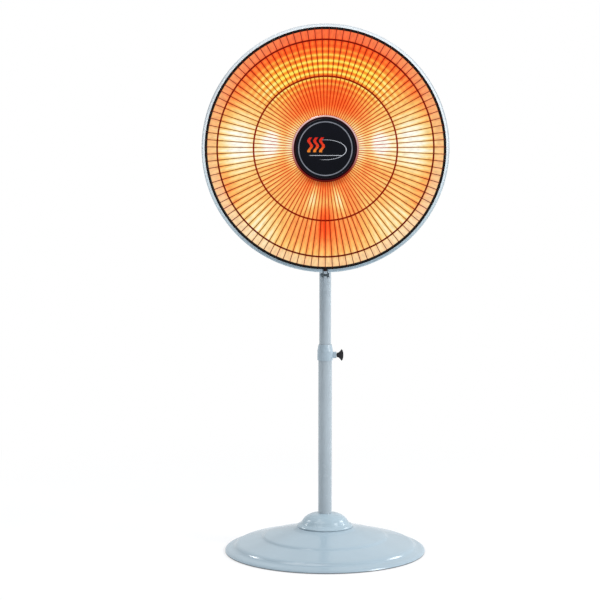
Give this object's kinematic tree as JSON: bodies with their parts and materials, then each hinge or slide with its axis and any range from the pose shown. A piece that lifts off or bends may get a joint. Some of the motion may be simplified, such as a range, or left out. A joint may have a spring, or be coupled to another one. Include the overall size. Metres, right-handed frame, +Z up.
{
  "type": "carbon heater",
  "caption": "Floor-standing radiant carbon heater: round caged dish on a telescopic pole with a weighted round base.",
  "frame": {"origin": "on the floor under the pole's axis, the middle of the base", "axes": "+Z up along the pole, -Y the way the dish faces, +X the viewer's right and the thumbscrew's side"},
  "size_m": [0.444, 0.375, 0.974],
  "materials": {
    "base_gloss": "gloss moulding",
    "collar_gloss": "gloss moulding",
    "pole_paint": "gloss powder coat",
    "dish_paint": "gloss powder coat",
    "reflector_metal": "bright pressed sheet",
    "guard_red_brown": "gloss wire coat",
    "hoop_black": "gloss wire coat",
    "cap_black": "piano gloss",
    "knob_black": "satin moulding",
    "bright_trim": "bright plate",
    "zinc_steel": "zinc plated",
    "ballast_steel": "black sheet",
    "cast_alloy": "as cast",
    "motor_case": "plated drum",
    "black_nylon": "moulded",
    "white_nylon": "moulded",
    "brass": "turned",
    "rubber": "moulded",
    "quartz": "clear",
    "hot_carbon": "glowing strand",
    "ceramic": "fired"
  },
  "bodies": {
    "stand": {"base_shell": "base_gloss", "cord_gland": "knob_black", "ballast_plate": "ballast_steel", "rubber_feet": "rubber", "shell_screws": "zinc_steel", "pole_socket": "cast_alloy", "socket_bolts": "zinc_steel", "dome_cover": "base_gloss", "tip_switch_case": "black_nylon", "lower_tube": "pole_paint", "height_collar": "collar_gloss"},
    "tip_plunger": {"tip_plunger": "white_nylon"},
    "lock_pad": {"lock_pad": "brass"},
    "lock_knob": {"lock_screw": "zinc_steel", "wing_knob": "knob_black"},
    "mast": {"upper_tube": "pole_paint", "mast_guide": "black_nylon", "tilt_socket": "cast_alloy", "mast_screw": "zinc_steel", "tilt_washers": "zinc_steel", "tilt_bolt": "zinc_steel", "tilt_nut": "zinc_steel"},
    "tilt_bracket": {"tilt_bracket": "cast_alloy", "swing_post": "zinc_steel", "post_clip": "zinc_steel", "swing_arm": "zinc_steel"},
    "head": {"gear_housing": "cast_alloy", "post_bush": "black_nylon", "rear_cover": "collar_gloss", "cover_screws": "zinc_steel", "housing_screws": "zinc_steel", "motor_bracket": "zinc_steel", "swing_motor": "motor_case", "heat_switch": "black_nylon", "timer_unit": "black_nylon", "rocker_frame": "knob_black", "terminal_block": "black_nylon", "thermal_cutout": "white_nylon", "rear_bowl": "dish_paint", "reflector": "reflector_metal", "rim_band": "dish_paint", "rim_screw": "zinc_steel", "rim_nut": "zinc_steel", "guard_hoop": "hoop_black", "guard_rings": "guard_red_brown", "guard_wires": "guard_red_brown", "guard_hub": "guard_red_brown", "cap_body": "cap_black", "cap_trim": "bright_trim", "cap_screws": "zinc_steel", "quartz_tubes": "quartz", "carbon_filaments": "hot_carbon", "ceramic_ends": "ceramic", "element_bracket": "zinc_steel", "element_spacers": "zinc_steel", "element_screws": "zinc_steel"},
    "crank": {"crank_disc": "zinc_steel"},
    "heat_knob": {"heat_knob": "knob_black"},
    "timer_knob": {"timer_knob": "knob_black"},
    "swing_rocker": {"swing_rocker": "knob_black"}
  },
  "joints": [
    {"name": "tip_switch", "type": "slide", "parent": "stand", "child": "tip_plunger", "axis": [0, 0, -1], "range_m": [0, 0.005], "stiffness_N_per_m": 120, "springref_m": 0.01},
    {"name": "height_slide", "type": "slide", "parent": "stand", "child": "mast", "axis": [0, 0, 1], "range_m": [-0.16, 0.05]},
    {"name": "lock_travel", "type": "slide", "parent": "stand", "child": "lock_pad", "axis": [1, 0, 0], "range_m": [0, 0.002]},
    {"name": "lock_turn", "type": "hinge", "parent": "lock_pad", "child": "lock_knob", "pos_m": [0.02, 0, 0.3695], "axis": [1, 0, 0], "range_deg": [0, 720]},
    {"name": "head_tilt", "type": "hinge", "parent": "mast", "child": "tilt_bracket", "pos_m": [0, 0, 0.668], "axis": [1, 0, 0], "range_deg": [-20, 15]},
    {"name": "head_swing", "type": "hinge", "parent": "tilt_bracket", "child": "head", "pos_m": [0, 0, 0.698], "axis": [0, 0, 1], "range_deg": [-30, 30]},
    {"name": "crank_turn", "type": "hinge", "parent": "head", "child": "crank", "pos_m": [0, 0.028, 0.714], "axis": [0, 0, 1], "range_deg": [-90, 90]},
    {"name": "heat_turn", "type": "hinge", "parent": "head", "child": "heat_knob", "pos_m": [-0.028, 0.066, 0.77], "axis": [0, 1, 0], "range_deg": [0, 120]},
    {"name": "timer_turn", "type": "hinge", "parent": "head", "child": "timer_knob", "pos_m": [0.028, 0.066, 0.77], "axis": [0, 1, 0], "range_deg": [0, 300]},
    {"name": "swing_rock", "type": "hinge", "parent": "head", "child": "swing_rocker", "pos_m": [0, 0.064, 0.77], "axis": [1, 0, 0], "range_deg": [-7, 7]}
  ],
  "couplings": [
    {"joint": "lock_turn", "follows": "lock_travel", "rad_per_m": 6283.1},
    {"joint": "crank_turn", "follows": "head_swing", "ratio": -3}
  ]
}
